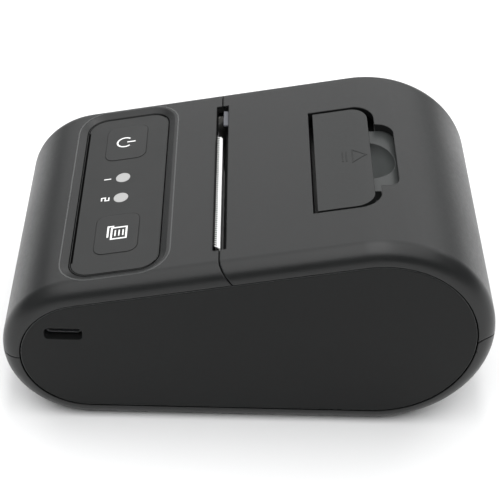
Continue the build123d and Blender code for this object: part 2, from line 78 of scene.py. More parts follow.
# Key caps, and the rim that closes the gap round them
KEY_WIDE = 14.4 * MM
KEY_DEEP = 10.6 * MM
KEY_CORNER = 2.4 * MM
KEY_GAP = 0.15 * MM
RIM_CLEAR = 0.02 * MM
RIM_DROP = 0.01 * MM
RIM_DEEP = 0.5 * MM

# Painted shade as a thin dark border round the deck film, heavier along its nose edge, and a painted
# highlight line on the lip round the deck's recess
DECK_CORNER = 5.0 * MM
BORDER_INSIDE = 0.25 * MM
BORDER_CORNER = 4.7 * MM
BORDER_HALF = 0.1 * MM
NOSE_LINE_INSIDE = 0.45 * MM
NOSE_LINE_SHORT = 5.2 * MM
NOSE_LINE_HALF = 0.24 * MM
NOSE_LINE_THICKER = 1.5
LIP_OUT = 2.4 * MM
LIP_HALF = 0.17 * MM
LIP_THICK = 0.03 * MM

# Marks on the keys and by the lamps: where the power ring starts and ends in degrees, its bar as
# parts of its radius, and paths in millimetres on the floor plan. The feed mark's paths each say
# whether they close, and how heavy their line is
POWER_SHIFT = Vector((-0.2, -0.8)) * MM
POWER_ARC = (138, 402)
POWER_BAR = (0.3, 1.4)
FEED_SHIFT = Vector((-0.1, -0.2)) * MM
FEED_MARK = (
    ([(-2.1, -1.4), (2.1, -1.4), (2.1, 2.2), (-2.1, 2.2)], True, 1.0),
    ([(-1.1, 1.4), (1.1, 1.4)], False, 0.75),
    ([(-1.1, 0.45), (1.1, 0.45)], False, 0.75),
    ([(-1.1, -0.5), (1.1, -0.5)], False, 0.75),
    ([(-2.7, -0.9), (-2.7, -2.3), (1.3, -2.3)], False, 1.0),
)
LAMP_RADIUS = 1.85 * MM
NUMBERS_SHIFT = -4.0 * MM
NUMERAL_ONE = [(0.0, -0.9), (0.0, 0.9)]
NUMERAL_TWO = [(-0.6, 0.9), (0.6, 0.9), (0.6, 0.0), (-0.6, 0.0), (-0.6, -0.9), (0.6, -0.9)]
NUMERAL_WEIGHT = 0.75

# Where painted shade and painted light fall on the tray round the lever, in millimetres, each from dark
# to pale: backwards, inwards from its sides (painted shade down the gaps round the lever), and down from its
# rim (painted light in the bowl)
PAINTED_SHADE_BACK = (22.5, 25.5)
PAINTED_SHADE_SIDE = (13.5, 12.3)
PAINTED_LIGHT_DOWN = (53.8, 51.5)

# Arrow and ridges on the lever, in millimetres on the floor plan
ARROW = [(-2.5, 24.6), (2.5, 24.6), (0.0, 27.9)]
RIDGES = ([(-1.9, 22.2), (1.9, 22.2)], [(-1.9, 23.1), (1.9, 23.1)])
ARROW_HALF = 0.17 * MM
ARROW_HIGH = 0.06 * MM

# Paper guide in the slot, as low corner, high corner and bevel in millimetres
GUIDE_TAB = ((-28.2, -7.15, 47.35), (-21.8, -5.85, 48.05), 0.12)
GUIDE_STEM = ((-24.6, -7.3, 46.2), (-24.0, -6.0, 47.6), 0.08)

# Teeth that reach over the torn end of the web, near black, partly as painted shadow of the tear strip's
# teeth on the paper
TEETH = 58
TOOTH_ROOT = 0.35 * MM
TOOTH_REACH = 0.62 * MM
TOOTH_LIFT = 0.12 * MM
TOOTH_THICK = 0.3 * MM

# The photograph's camera, solved from the side plate's outline and the silhouette
VIEW_AZIMUTH = 88.369
VIEW_ELEVATION = 39.791
VIEW_ROLL = -2.487
VIEW_PLACE = Vector((282.735, -7.578, 260.678)) * MM
VIEW_LENS = 102.6

# Stage, in metres; soft lights as name, place, aim, width, depth and glow
FLOOR_SIZE = 6.0
SOFTBOXES = (
    ("far_box", (-1.0, 0.1, 0.72), (0.0, 0.0, 0.03), 2.4, 0.9, 1.55),
    ("ceiling_box", (0.3, 0.0, 1.15), (0.3, 0.0, 0.0), 1.9, 2.4, 1.9),
    ("streak_box", (0.12, 0.0, 1.1), (0.05, 0.0, 0.0), 0.14, 1.8, 5.0),
)
ROOM_COLOUR = (0.94, 0.97, 1.0, 1.0)
ROOM_GLOW = 0.16

# The sloping top, read from the travel of the keys
KEY_TRAVEL = next(joint for joint in frame["joints"] if joint["name"] == "power_press")
DECK_NORMAL = -Vector(KEY_TRAVEL["axis"])


def middle(node):
    """Middle of a CAD node's box."""
    low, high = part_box(node)
    return (low + high) / 2


class Skin:
    """The upper surface of a CAD node, for laying marks and trim on it."""

    def __init__(self, node):
        mesh = NODES[node].data
        points = [vertex.co for vertex in mesh.vertices]
        faces = [list(face.vertices) for face in mesh.polygons]
        self.tree = BVHTree.FromPolygons(points, faces)
        self.centre = middle(node)

    def at(self, x, y):
        """Point and normal of the surface above a place on the floor plan."""
        start = Vector((x, y, self.centre.z + 0.1))
        point, normal, _, _ = self.tree.ray_cast(start, Vector((0.0, 0.0, -1.0)))
        if point is None:
            raise RuntimeError("a mark lies off its surface")
        return point, normal


class Value:
    """A shader socket that can be added, multiplied and compared in plain Python."""

    def __init__(self, maker, socket):
        self.maker = maker
        self.socket = socket

    def _math(self, operation, other, swap=False):
        first, second = (other, self) if swap else (self, other)
        return self.maker.node("ShaderNodeMath", {"operation": operation}, [first, second])

    def __add__(self, other):
        return self._math("ADD", other)

    def __radd__(self, other):
        return self._math("ADD", other, True)

    def __sub__(self, other):
        return self._math("SUBTRACT", other)

    def __rsub__(self, other):
        return self._math("SUBTRACT", other, True)

    def __mul__(self, other):
        return self._math("MULTIPLY", other)

    def __rmul__(self, other):
        return self._math("MULTIPLY", other, True)

    def __lt__(self, other):
        return self._math("LESS_THAN", other)

    def __gt__(self, other):
        return self._math("GREATER_THAN", other)

    def absolute(self):
        return self.maker.node("ShaderNodeMath", {"operation": "ABSOLUTE"}, [self])

    def wave(self):
        return self.maker.node("ShaderNodeMath", {"operation": "SINE"}, [self])


class Finish:
    """One material under construction, with its main shader ready."""

    def __init__(self, name, **constants):
        self.material = bpy.data.materials.new(name)
        self.material.use_nodes = True
        self.tree = self.material.node_tree
        self.shader = self.tree.nodes["Principled BSDF"]
        for socket, value in constants.items():
            self.shader.inputs[socket.replace("_", " ")].default_value = value

    def node(self, kind, settings=None, inputs=None, output=0):
        """Add a node, set it up, link or fill its inputs, and wrap one of its outputs."""
        made = self.tree.nodes.new(kind)
        for name, value in (settings or {}).items():
            setattr(made, name, value)
        pairs = inputs.items() if isinstance(inputs, dict) else enumerate(inputs or [])
        for key, value in pairs:
            self._feed(made.inputs[key], value)
        return Value(self, made.outputs[output])

    def _feed(self, socket, value):
        if isinstance(value, Value):
            self.tree.links.new(value.socket, socket)
        elif socket.type == "RGBA" and len(value) == 3:
            socket.default_value = (*value, 1.0)
        else:
            socket.default_value = value

    def feed(self, socket, value):
        """Link or set one socket of the main shader."""
        self._feed(self.shader.inputs[socket], value)

    def place(self):
        """Position on the piece, in metres, which moves with the piece."""
        return self.node("ShaderNodeTexCoord", output="Object")

    def axis(self, letter):
        """One coordinate of the place, in millimetres."""
        split = self.node("ShaderNodeSeparateXYZ", inputs=[self.place()], output=letter)
        return split * 1000.0

    def stretched(self, scale):
        """The place scaled along each axis."""
        settings = {"operation": "MULTIPLY"}
        return self.node("ShaderNodeVectorMath", settings, [self.place(), scale])

    def noise(self, per_metre, detail=3.0, rough=0.5, vector=None):
        """Noise with about this many features to the metre, around 0.5."""
        inputs = {"Vector": vector or self.place(), "Scale": per_metre, "Detail": detail, "Roughness": rough}
        return self.node("ShaderNodeTexNoise", {}, inputs, "Fac")

    def cells(self, per_metre):
        """Rounded cells, for pits and grain."""
        inputs = {"Vector": self.place(), "Scale": per_metre}
        return self.node("ShaderNodeTexVoronoi", {}, inputs, "Distance")

    def blend(self, factor, low, high):
        """A colour between two colours."""
        settings = {"data_type": "RGBA"}
        return self.node("ShaderNodeMix", settings, {0: factor, 6: low, 7: high}, 2)

    def spread(self, value, low, high, out_low=0.0, out_high=1.0):
        """Map a value from one range to another, and hold it there."""
        inputs = [value, low, high, out_low, out_high]
        return self.node("ShaderNodeMapRange", {"clamp": True}, inputs)

    def bump(self, height, depth_mm, edge_mm=0.0):
        """Raise the surface by a height of 0 to 1, and round its sharp edges a little."""
        inputs = {"Strength": 1.0, "Distance": depth_mm * MM, "Height": height}
        if edge_mm:
            inputs["Normal"] = self.node("ShaderNodeBevel", {"samples": 6}, {"Radius": edge_mm * MM})
        self.feed("Normal", self.node("ShaderNodeBump", {}, inputs))


def scaled(colour, factor):
    """A lighter or darker version of a colour."""
    return tuple(min(1.0, part * factor) for part in colour)


def coat(node, material):
    """Give a CAD node its finish."""
    slots = NODES[node].data.materials
    slots.clear()
    slots.append(material)


def moulded(name, colour, roughness, grain_mm, depth_mm, edge_mm=0.18, sheen=0.36):
    """Spark-textured moulding: fine grain, slow drift in tone and sheen, softened edges."""
    finish = Finish(name, Specular_IOR_Level=sheen)
    grain = finish.noise(1.0 / (grain_mm * MM), 2.0, 0.6)
    pits = finish.cells(0.6 / (grain_mm * MM))
    drift = finish.noise(38.0, 3.0)
    specks = finish.noise(900.0, 1.0)
    tone = finish.spread(drift * 0.7 + grain * 0.3, 0.35, 0.65)
    finish.feed("Base Color", finish.blend(tone, scaled(colour, 0.88), scaled(colour, 1.12)))
    wear = drift * 0.6 + specks * 0.4
    finish.feed("Roughness", finish.spread(wear, 0.3, 0.7, roughness - 0.05, roughness + 0.05))
    finish.bump(grain * 0.65 + pits * 0.35, depth_mm, edge_mm=edge_mm)
    return finish.material


def pocket(name, colour):
    """Moulded tray with painted light and shade: near black down the gaps round the lever as painted shade,
    lighter down in the bowl as painted light.
    """
    finish = Finish(name, Specular_IOR_Level=0.3)
    grain = finish.noise(4200.0, 2.0, 0.6)
    drift = finish.noise(60.0, 3.0)
    # Painted shade: the tray goes near black down the gaps behind and beside the lever, and keeps its ground
    # colour elsewhere
    behind = finish.spread(finish.axis("Y"), *PAINTED_SHADE_BACK)
    beside = finish.spread(finish.axis("X").absolute(), *PAINTED_SHADE_SIDE)
    outside_painted_shade = behind * beside
    # Painted light: the tray gets lighter down in the bowl, which lies in shade
    deep = finish.spread(finish.axis("Z"), *PAINTED_LIGHT_DOWN) * outside_painted_shade
    ground = finish.blend(finish.spread(drift, 0.35, 0.65), scaled(colour, 0.9), colour)
    ground_with_painted_shade = finish.blend(outside_painted_shade, scaled(colour, 0.06), ground)
    finish.feed("Base Color", finish.blend(deep, ground_with_painted_shade, scaled(colour, 1.6)))
    finish.feed("Roughness", finish.spread(drift, 0.3, 0.7, 0.34, 0.42))
    finish.bump(grain, 0.012, edge_mm=0.3)
    return finish.material


def film(name, colour, roughness, sheen=0.36):
    """Matt polyester film over the deck: velvet grain and a faint print mottle."""
    finish = Finish(name, Specular_IOR_Level=sheen)
    velvet = finish.noise(14000.0, 2.0)
    mottle = finish.noise(160.0, 4.0)
    tone = finish.spread(mottle, 0.35, 0.65)
    finish.feed("Base Color", finish.blend(tone, scaled(colour, 0.92), scaled(colour, 1.1)))
    finish.feed("Roughness", finish.spread(mottle, 0.3, 0.7, roughness - 0.04, roughness + 0.04))
    finish.bump(velvet, 0.006, edge_mm=0.12)
    return finish.material


def ink(name, colour):
    """Screen-printed ink: solid colour with pinholes and a slightly raised, uneven surface."""
    finish = Finish(name, Specular_IOR_Level=0.4)
    cover = finish.spread(finish.cells(9000.0), 0.05, 0.2)
    finish.feed("Base Color", finish.blend(cover, scaled(colour, 0.82), colour))
    finish.feed("Roughness", finish.spread(finish.noise(2500.0), 0.3, 0.7, 0.42, 0.6))
    finish.bump(finish.noise(12000.0), 0.004)
    return finish.material


def lens(name, colour):
    """Milky lamp lens: a diffusing grid just under a satin surface."""
    finish = Finish(name, Specular_IOR_Level=0.5, Coat_Roughness=0.3)
    grid = (finish.axis("X") * 14.0).wave() * (finish.axis("Y") * 14.0).wave()
    shade = finish.spread(grid, -1.0, 1.0)
    finish.feed("Base Color", finish.blend(shade, scaled(colour, 0.86), colour))
    finish.feed("Roughness", finish.spread(finish.noise(600.0), 0.3, 0.7, 0.3, 0.42))
    finish.bump(shade, 0.01, edge_mm=0.15)
    return finish.material


def paper(name, colour, wound=None):
    """Coated label stock, with fine fibres; the ends of a wound node show its layers."""
    finish = Finish(name, Specular_IOR_Level=0.3)
    fibre = finish.noise(5200.0, 4.0, 0.65, finish.stretched((1.0, 0.35, 1.0)))
    height = fibre
    tone = finish.spread(fibre, 0.3, 0.7)
    if wound:
        centre = middle(wound) / MM
        run = finish.axis("Y") - centre.y
        rise = finish.axis("Z") - centre.z
        radius = finish.node("ShaderNodeMath", {"operation": "SQRT"}, [run * run + rise * rise])
        layers = (radius * 34.0 + finish.noise(260.0) * 3.0).wave()
        tone = finish.spread(layers + fibre, -0.6, 1.6)
        height = finish.spread(layers, -1.0, 1.0)
    finish.feed("Base Color", finish.blend(tone, scaled(colour, 0.86), colour))
    finish.feed("Roughness", finish.spread(fibre, 0.3, 0.7, 0.55, 0.75))
    finish.bump(height, 0.012)
    return finish.material


def brushed(name, colour, roughness, stretch):
    """Metal with a directional grain and faint handling marks."""
    finish = Finish(name, Metallic=1.0)
    streak = finish.noise(9000.0, 2.0, 0.5, finish.stretched(stretch))
    smear = finish.noise(120.0, 3.0)
    tone = finish.spread(smear * 0.5 + streak * 0.5, 0.35, 0.65)
    finish.feed("Base Color", finish.blend(tone, scaled(colour, 0.8), colour))
    wear = streak * 0.6 + smear * 0.4
    finish.feed("Roughness", finish.spread(wear, 0.3, 0.7, roughness - 0.08, roughness + 0.1))
    finish.bump(streak, 0.004, edge_mm=0.08)
    return finish.material


def board(name, colour):
    """Circuit board: solder mask over fine tracks, with tinned pads."""
    finish = Finish(name, Specular_IOR_Level=0.5)
    layout = {"Vector": finish.place(), "Scale": 420.0, "Mortar Size": 0.06}
    layout.update({"Brick Width": 0.7, "Row Height": 0.25})
    tracks = finish.node("ShaderNodeTexBrick", {"offset": 0.5}, layout, "Fac")
    pads = finish.cells(240.0) < 0.14
    masked = finish.blend(tracks, colour, scaled(colour, 1.7))
    finish.feed("Base Color", finish.blend(pads, masked, (0.62, 0.6, 0.55)))
    finish.feed("Metallic", pads * 0.9)
    finish.feed("Roughness", finish.spread(finish.noise(300.0), 0.3, 0.7, 0.25, 0.4))
    finish.bump(tracks * 0.5 + pads * 0.5, 0.03)
    return finish.material


def rubber(name, colour):
    """Ground platen rubber: fine rings from the grinding wheel and a dry bloom."""
    finish = Finish(name, Specular_IOR_Level=0.35)
    rings = finish.noise(6000.0, 2.0, 0.5, finish.stretched((1.0, 0.08, 0.08)))
    bloom = finish.noise(220.0, 4.0)
    finish.feed("Base Color", finish.blend(finish.spread(bloom, 0.4, 0.7), colour, scaled(colour, 1.9)))
    finish.feed("Roughness", finish.spread(rings, 0.3, 0.7, 0.6, 0.8))
    finish.bump(rings, 0.01, edge_mm=0.15)
    return finish.material


def new_piece(name, mesh_maker, material, body):
    """Make a mesh piece, finish it, and let it ride on a body."""
    work = bmesh.new()
    mesh_maker(work)
    bmesh.ops.recalc_face_normals(work, faces=work.faces)
    mesh = bpy.data.meshes.new(name)
    work.to_mesh(mesh)
    work.free()
    piece = bpy.data.objects.new(name, mesh)
    bpy.context.scene.collection.objects.link(piece)
    mesh.materials.append(material)
    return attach(piece, body)


def shifted(path, x, y):
    """A path in millimetres, moved to a place on the floor plan."""
    return [(x + across * MM, y + up * MM) for across, up in path]


def ribbon(work, skin, path, half, thick, closed=False):
    """A raised line of even width that follows a path drawn on a node's surface."""
    places = []
    ends = list(zip(path, path[1:] + path[:1])) if closed else list(zip(path, path[1:]))
    for start, end in ends:
        run = Vector(end) - Vector(start)
        count = max(1, round(run.length / MARK_STEP))
        places += [Vector(start) + run * (index / count) for index in range(count)]
    if not closed:
        places.append(Vector(path[-1]))
    rows = []
    total = len(places)
    for index, place in enumerate(places):
        before = places[index - 1] if closed or index else place
        after = places[(index + 1) % total] if closed or index < total - 1 else place
        arrive = (place - before).normalized() if (place - before).length else Vector((0, 0))
        depart = (after - place).normalized() if (after - place).length else Vector((0, 0))
        along = (arrive + depart).normalized()
        turn = max(0.4, along.dot(depart if depart.length else arrive))
        side = Vector((-along.y, along.x)) * (half / turn)
        row = []
        for edge in (place - side, place + side):
            point, normal = skin.at(edge.x, edge.y)
            row.append((work.verts.new(point - normal * SUNK), work.verts.new(point + normal * thick)))
        rows.append(row)
    if closed:
        rows.append(rows[0])
    for (left, right), (next_left, next_right) in zip(rows, rows[1:]):
        work.faces.new((left[1], right[1], next_right[1], next_left[1]))
        work.faces.new((right[1], right[0], next_right[0], next_right[1]))
        work.faces.new((left[0], left[1], next_left[1], next_left[0]))
        work.faces.new((right[0], left[0], next_left[0], next_right[0]))
    if not closed:
        for left, right in (rows[0], rows[-1]):
            work.faces.new((left[0], left[1], right[1], right[0]))


def arc_path(centre, radius, first, last, steps=24):
    """Points along an arc, its angles in degrees."""
    turns = [math.radians(first + (last - first) * step / steps) for step in range(steps + 1)]
    return [(centre[0] + radius * math.cos(turn), centre[1] + radius * math.sin(turn)) for turn in turns]


def rounded_path(centre, wide, deep, corner, steps=6):
    """Points round a rectangle with round corners."""
    points = []
    for quarter, (right, up) in enumerate(((1, 1), (-1, 1), (-1, -1), (1, -1))):
        hub = (centre[0] + right * (wide / 2 - corner), centre[1] + up * (deep / 2 - corner))
        points += arc_path(hub, corner, 90 * quarter, 90 * quarter + 90, steps)
    return points


def block(work, low, high, bevel):
    """A box between two corners, with small bevels on its edges."""
    made = bmesh.ops.create_cube(work, size=1.0)
    size = high - low
    for vertex in made["verts"]:
        vertex.co = Vector((vertex.co[axis] * size[axis] for axis in range(3))) + (low + high) / 2
    edges = list({edge for vertex in made["verts"] for edge in vertex.link_edges})
    bmesh.ops.bevel(work, geom=edges, offset=bevel, segments=2, affect="EDGES", profile=0.5)


def tube(work, path, radius, sides=8):
    """A closed round bead along a ring of points that share one X."""
    total = len(path)
    outward = Vector((1.0, 0.0, 0.0))
    turns = [2 * math.pi * step / sides for step in range(sides)]
    rings = []
    for index, place in enumerate(path):
        along = (Vector(path[(index + 1) % total]) - Vector(path[index - 1])).normalized()
        across = along.cross(outward).normalized()
        spokes = [outward * math.cos(turn) + across * math.sin(turn) for turn in turns]
        rings.append([work.verts.new(Vector(place) + spoke * radius) for spoke in spokes])
    for index in range(total):
        here, there = rings[index], rings[(index + 1) % total]
        for step in range(sides):
            after = (step + 1) % sides
            work.faces.new((here[step], here[after], there[after], there[step]))


def side_outline(inset, steps=36):
    """The printer's side outline, pulled in by inset, as places along Y and Z."""
    span = REAR_CENTRE - NOSE_CENTRE
    tilt = math.atan2(span.y, span.x)
    lean = math.acos((NOSE_RADIUS - REAR_RADIUS) / span.length)
    upper, lower = tilt + lean, tilt - lean
    rear = (REAR_CENTRE, REAR_RADIUS, lower, upper)
    nose = (NOSE_CENTRE, NOSE_RADIUS, upper, lower + 2 * math.pi)
    points = []
    for centre, radius, first, last in (rear, nose):
        for step in range(steps + 1):
            turn = first + (last - first) * step / steps
            points.append(centre + Vector((math.cos(turn), math.sin(turn))) * (radius - inset))
    return points


class PrinterSizes(bpy.types.PropertyGroup):
    """Sizes of the marks and the grain."""

    line: FloatProperty(
        name="Mark line", description="Width of the printed lines", default=0.44 * MM, unit="LENGTH")
    icon: FloatProperty(
        name="Icon", description="Radius of the power mark's ring", default=1.95 * MM, unit="LENGTH")
    ink_thick: FloatProperty(
        name="Ink", description="Thickness of the ink", default=0.03 * MM, unit="LENGTH")
    grain: FloatProperty(
        name="Grain", description="Size of the casing's grain, in mm", default=0.22)


class PrinterColours(bpy.types.PropertyGroup):
    """Colours of the visible finishes."""

    casing: FloatVectorProperty(
        name="Casing", description="Upper casing", subtype="COLOR", default=(0.0095, 0.01, 0.01))
    plate: FloatVectorProperty(
        name="Side plate", description="Flat side plates", subtype="COLOR", default=(0.0095, 0.01, 0.0099))
    deck: FloatVectorProperty(
        name="Deck", description="Film over the deck", subtype="COLOR", default=(0.0125, 0.0131, 0.0129))
    lever: FloatVectorProperty(
        name="Lever", description="Opening lever", subtype="COLOR", default=(0.0125, 0.0134, 0.0132))
    mark: FloatVectorProperty(
        name="Marks", description="White ink", subtype="COLOR", default=(0.86, 0.86, 0.85))
    label: FloatVectorProperty(
        name="Label stock", description="Paper web and roll", subtype="COLOR", default=(0.9, 0.9, 0.89))


def sizes():
    """The sizes that the panel shows."""
    return bpy.context.scene.printer_sizes


def colours():
    """The colours that the panel shows."""
    return bpy.context.scene.printer_colours


class PRINTER_OT_casing(bpy.types.Operator):
    """Finish the casing shells, side plates and lever"""

    bl_idname = "printer.casing"
    bl_label = "Casing"

    def execute(self, context):
        shell = moulded("casing_texture", colours().casing, 0.37, sizes().grain, 0.02, 0.42)
        for node in ("base_shell", "front_shell", "paper_lid"):
            coat(node, shell)
        plate = moulded("plate_texture", colours().plate, 0.5, sizes().grain * 0.9, 0.014, sheen=0.16)
        for node in ("side_plate_right", "side_plate_left"):
            coat(node, plate)
        coat("open_lever", moulded("lever_texture", colours().lever, 0.44, sizes().grain * 0.8, 0.012))
        dark = moulded("dark_moulding", (0.004, 0.004, 0.0042), 0.6, 0.3, 0.02, sheen=0.08)
        for node in ("tear_bar", "paper_tray", "roll_divider"):
            coat(node, dark)
        # The tray's colour is the lever's made three times lighter, as painted light in its shaded hollow
        coat("lever_well", pocket("well_painted_shade_and_light", scaled(colours().lever, 3.0)))
        return {"FINISHED"}


class PRINTER_OT_deck(bpy.types.Operator):
    """Finish the control deck, keys and lamps"""

    bl_idname = "printer.deck"
    bl_label = "Control deck"

    def execute(self, context):
        coat("control_panel", film("deck_film", colours().deck, 0.5))
        key = film("key_film", scaled(colours().deck, 0.94), 0.46)
        coat("power_button", key)
        coat("feed_button", key)
        coat("led_lenses", lens("lamp_lens", (0.4, 0.4, 0.395)))
        return {"FINISHED"}


class PRINTER_OT_marks(bpy.types.Operator):
    """Print the power and feed marks on the keys, and plain numbers by the lamps"""

    bl_idname = "printer.marks"
    bl_label = "Printed marks"

    def execute(self, context):
        white = ink("mark_ink", colours().mark)
        half = sizes().line / 2
        thick = sizes().ink_thick
        ring = sizes().icon

        def power(work):
            skin = Skin("power_button")
            x, y = skin.centre.x + POWER_SHIFT.x, skin.centre.y + POWER_SHIFT.y
            ribbon(work, skin, arc_path((x, y), ring, *POWER_ARC), half, thick)
            ribbon(work, skin, [(x, y + ring * part) for part in POWER_BAR], half, thick)

        def feed(work):
            skin = Skin("feed_button")
            x, y = skin.centre.x + FEED_SHIFT.x, skin.centre.y + FEED_SHIFT.y
            for path, closed, weight in FEED_MARK:
                ribbon(work, skin, shifted(path, x, y), half * weight, thick, closed)

        def numbers(work):
            skin = Skin("control_panel")
            low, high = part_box("led_lenses")
            y = skin.centre.y + NUMBERS_SHIFT
            for x, path in ((low.x + LAMP_RADIUS, NUMERAL_ONE), (high.x - LAMP_RADIUS, NUMERAL_TWO)):
                ribbon(work, skin, shifted(path, x, y), half * NUMERAL_WEIGHT, thick)

        new_piece("power_mark", power, white, "power_key")
        new_piece("feed_mark", feed, white, "feed_key")
        new_piece("lamp_numbers", numbers, white, "housing")
        return {"FINISHED"}


class PRINTER_OT_deck_edge(bpy.types.Operator):
    """Lay a thin dark border of painted shade on the deck, and a painted highlight line on the lip round its
    recess
    """

    bl_idname = "printer.deck_edge"
    bl_label = "Deck edge"

    def execute(self, context):
        # Painted shade: near black lines at the deck's edge, where the groove round the panel lies in shade
        painted_groove_shade = film("border_painted_shade", (0.0008, 0.0008, 0.0008), 0.8, 0.02)
        # Painted highlight: the casing's colour made three times lighter and glossier, for the light on the
        # recess's lip
        painted_lip_highlight = moulded("lip_painted_highlight", scaled(colours().casing, 3.0), 0.25, 0.2, 0.003, 0.05, sheen=0.6)
        thick = sizes().ink_thick
        low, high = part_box("control_panel")
        hub = middle("control_panel")
        wide, deep = high.x - low.x, high.y - low.y

        def border(work):
            skin = Skin("control_panel")
            inside = (wide - 2 * BORDER_INSIDE, deep - 2 * BORDER_INSIDE)
            ribbon(work, skin, rounded_path(hub, *inside, BORDER_CORNER), BORDER_HALF, thick, True)
            # The heavier line along the nose edge is painted shade in the groove there
            y = low.y + NOSE_LINE_INSIDE
            nose = [(low.x + NOSE_LINE_SHORT, y), (high.x - NOSE_LINE_SHORT, y)]
            ribbon(work, skin, nose, NOSE_LINE_HALF, thick * NOSE_LINE_THICKER)

        def lip(work):
            skin = Skin("front_shell")
            ring = rounded_path(hub, wide + 2 * LIP_OUT, deep + 2 * LIP_OUT, DECK_CORNER + LIP_OUT)
            ribbon(work, skin, ring, LIP_HALF, LIP_THICK, True)

        new_piece("deck_border_painted_shade", border, painted_groove_shade, "housing")
        new_piece("deck_lip_painted_highlight", lip, painted_lip_highlight, "housing")
        return {"FINISHED"}


class PRINTER_OT_seals(bpy.types.Operator):
    """Close the gap round each key with a thin membrane rim"""

    bl_idname = "printer.seals"
    bl_label = "Key rims"

    def execute(self, context):
        rim = film("key_rim_film", scaled(colours().deck, 0.95), 0.5)

        def rims(work):
            deck = middle("control_panel")
            up = Vector((0.0, DECK_NORMAL.z, -DECK_NORMAL.y))
            top = max(vertex.co.dot(DECK_NORMAL) for vertex in NODES["control_panel"].data.vertices)
            for node in ("power_button", "feed_button"):
                hub = Vector((middle(node).x, deck.y, deck.z))
                hub += DECK_NORMAL * (top - RIM_DROP - hub.dot(DECK_NORMAL))
                loops = []
                for grow in (RIM_CLEAR, KEY_GAP - RIM_CLEAR):
                    size = (KEY_WIDE + 2 * grow, KEY_DEEP + 2 * grow)
                    ring = rounded_path((0.0, 0.0), *size, KEY_CORNER + grow)
                    for sink in (0.0, RIM_DEEP):
                        places = [hub + Vector((x, 0, 0)) + up * y - DECK_NORMAL * sink for x, y in ring]
                        loops.append([work.verts.new(place) for place in places])
                inner, inner_low, outer, outer_low = loops
                around = (inner, outer, outer_low, inner_low, inner)
                for first, second in zip(around, around[1:]):
                    for index in range(len(first)):
                        after = (index + 1) % len(first)
                        work.faces.new((first[index], first[after], second[after], second[index]))

        new_piece("key_rims", rims, rim, "housing")
        return {"FINISHED"}


class PRINTER_OT_lever_marks(bpy.types.Operator):
    """Raise an arrow and two short ridges on the opening lever"""

    bl_idname = "printer.lever_marks"
    bl_label = "Lever arrow"

    def execute(self, context):
        raised = moulded("arrow_texture", scaled(colours().lever, 0.55), 0.5, 0.2, 0.006, 0.05)

        def arrow(work):
            skin = Skin("open_lever")
            ribbon(work, skin, shifted(ARROW, 0.0, 0.0), ARROW_HALF, ARROW_HIGH, True)
            for ridge in RIDGES:
                ribbon(work, skin, shifted(ridge, 0.0, 0.0), ARROW_HALF, ARROW_HIGH)

        new_piece("lever_arrow", arrow, raised, "lever")
        return {"FINISHED"}


class PRINTER_OT_trim(bpy.types.Operator):
    """Run a fine bead of painted highlight and a black ring of painted shade in the groove round each side
    plate
    """

    bl_idname = "printer.trim"
    bl_label = "Plate trim"

    def execute(self, context):
        # Painted shade: a near black ring fills the groove round each plate, where the groove lies in shade
        painted_groove_shade = film("plate_groove_painted_shade", (0.0008, 0.0008, 0.0008), 0.8, 0.02)
        # Painted highlight: about five times lighter than the plate and glossier, for the light along the
        # plate's edge
        painted_bead_highlight = moulded("bead_painted_highlight", (0.05, 0.052, 0.052), 0.28, 0.3, 0.003, 0.0)
        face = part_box("side_plate_right")[1].x
        for side, hand in (("right", 1), ("left", -1)):

            def bead(work, hand=hand):
                ring = side_outline(PLATE_INSET + BEAD_INSIDE)
                x = hand * (face - BEAD_DEEP)
                tube(work, [(x, place.x, place.y) for place in ring], BEAD_RADIUS)

            def groove_shade(work, hand=hand):
                ring = side_outline(PLATE_INSET + GROOVE_SHADE_INSIDE)
                x = hand * (face - GROOVE_SHADE_DEEP)
                tube(work, [(x, place.x, place.y) for place in ring], GROOVE_SHADE_RADIUS)

            new_piece(f"plate_bead_highlight_{side}", bead, painted_bead_highlight, "housing")
            new_piece(f"plate_groove_shade_{side}", groove_shade, painted_groove_shade, "housing")
        return {"FINISHED"}


class PRINTER_OT_guide(bpy.types.Operator):
    """Hang the small paper guide in the slot, from the lid"""

    bl_idname = "printer.guide"
    bl_label = "Paper guide"

    def execute(self, context):
        grey = moulded("guide_texture", (0.085, 0.088, 0.1), 0.4, 0.2, 0.005)

        def guide(work):
            for low, high, bevel in (GUIDE_TAB, GUIDE_STEM):
                block(work, Vector(low) * MM, Vector(high) * MM, bevel * MM)

        new_piece("paper_guide", guide, grey, "lid")
        return {"FINISHED"}


class PRINTER_OT_teeth(bpy.types.Operator):
    """Lay the tear strip's small teeth over the torn end of the label web, near black, partly as their
    painted shadow on the paper
    """

    bl_idname = "printer.teeth"
    bl_label = "Tear teeth"

    def execute(self, context):
        # Partly painted shadow: the near black teeth over the paper stand for the tear strip's teeth and the
        # shadow they cast on it
        dark = moulded("teeth_painted_shadow", (0.003, 0.003, 0.003), 0.6, 0.2, 0.004, 0.05, sheen=0.1)

        def teeth(work):
            low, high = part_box("paper_web")
            pitch = (high.x - low.x) / TEETH
            root, tip = low.y - TOOTH_ROOT, low.y + TOOTH_REACH
            top = high.z + TOOTH_LIFT
            for tooth in range(TEETH):
                left = low.x + pitch * tooth
                outline = [(left, root, top), (left + pitch, root, top), (left + pitch / 2, tip, high.z)]
                lower = [work.verts.new((x, y, top - TOOTH_THICK)) for x, y, _ in outline]
                upper = [work.verts.new(place) for place in outline]
                work.faces.new(upper)
                work.faces.new(lower[::-1])
                for first in range(3):
                    second = (first + 1) % 3
                    work.faces.new((lower[first], lower[second], upper[second], upper[first]))

        new_piece("tear_teeth", teeth, dark, "housing")
        return {"FINISHED"}


